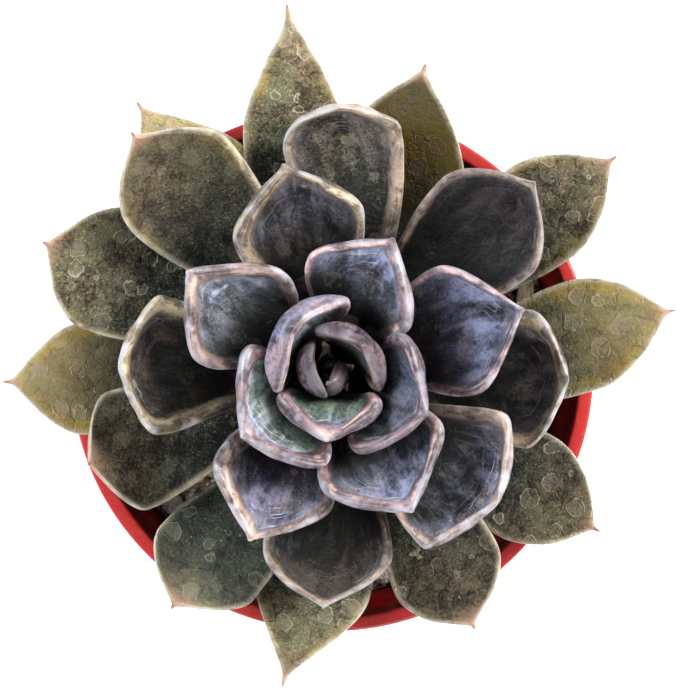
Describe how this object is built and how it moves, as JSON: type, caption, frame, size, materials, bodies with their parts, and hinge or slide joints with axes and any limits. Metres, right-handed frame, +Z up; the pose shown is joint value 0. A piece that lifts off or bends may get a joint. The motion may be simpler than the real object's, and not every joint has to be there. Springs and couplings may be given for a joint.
{
  "type": "potted echeveria",
  "caption": "Rosette of thick cupped dark leaves on a short stem, growing from gritty soil in a small tapered plastic nursery pot.",
  "frame": {"origin": "on the pot's axis, at the flat underside the pot stands on", "axes": "+Z up along the pot's axis, +Y towards the picture's upper edge, +X towards its right edge"},
  "size_m": [0.1257, 0.1275, 0.1193],
  "materials": {
    "pot_plastic": "satin red plastic",
    "soil_grit": "dry gritty potting mix",
    "perlite": "matt white perlite grain",
    "bark_chip": "dry straw-coloured chip",
    "stem": "matt brown-green stem",
    "leaf_inner": "living leaf, waxy blue-grey with pink margins",
    "leaf_middle": "living leaf, glossy dark purple with pink-cream margins",
    "leaf_outer": "living leaf, olive-bronze with pale water spots and pink tips"
  },
  "bodies": {
    "root": {"pot": "pot_plastic", "soil": "soil_grit", "stem": "stem", "perlite_1": "perlite", "perlite_2": "perlite", "perlite_3": "perlite", "bark_chip_1": "bark_chip", "bark_chip_2": "bark_chip", "bark_chip_3": "bark_chip", "leaf_01": "leaf_inner", "leaf_02": "leaf_inner", "leaf_03": "leaf_inner", "leaf_04": "leaf_inner", "leaf_05": "leaf_inner", "leaf_06": "leaf_inner", "leaf_07": "leaf_inner", "leaf_08": "leaf_inner", "leaf_09": "leaf_inner", "leaf_10": "leaf_middle", "leaf_11": "leaf_middle", "leaf_12": "leaf_middle", "leaf_13": "leaf_middle", "leaf_14": "leaf_middle", "leaf_15": "leaf_middle", "leaf_16": "leaf_middle", "leaf_17": "leaf_middle", "leaf_18": "leaf_middle", "leaf_19": "leaf_middle", "leaf_20": "leaf_middle", "leaf_21": "leaf_middle", "leaf_22": "leaf_middle", "leaf_23": "leaf_middle", "leaf_24": "leaf_outer", "leaf_25": "leaf_outer", "leaf_26": "leaf_outer", "leaf_27": "leaf_outer", "leaf_28": "leaf_outer", "leaf_29": "leaf_outer", "leaf_30": "leaf_outer", "leaf_31": "leaf_outer", "leaf_32": "leaf_outer", "leaf_33": "leaf_outer", "leaf_34": "leaf_outer"}
  },
  "joints": []
}
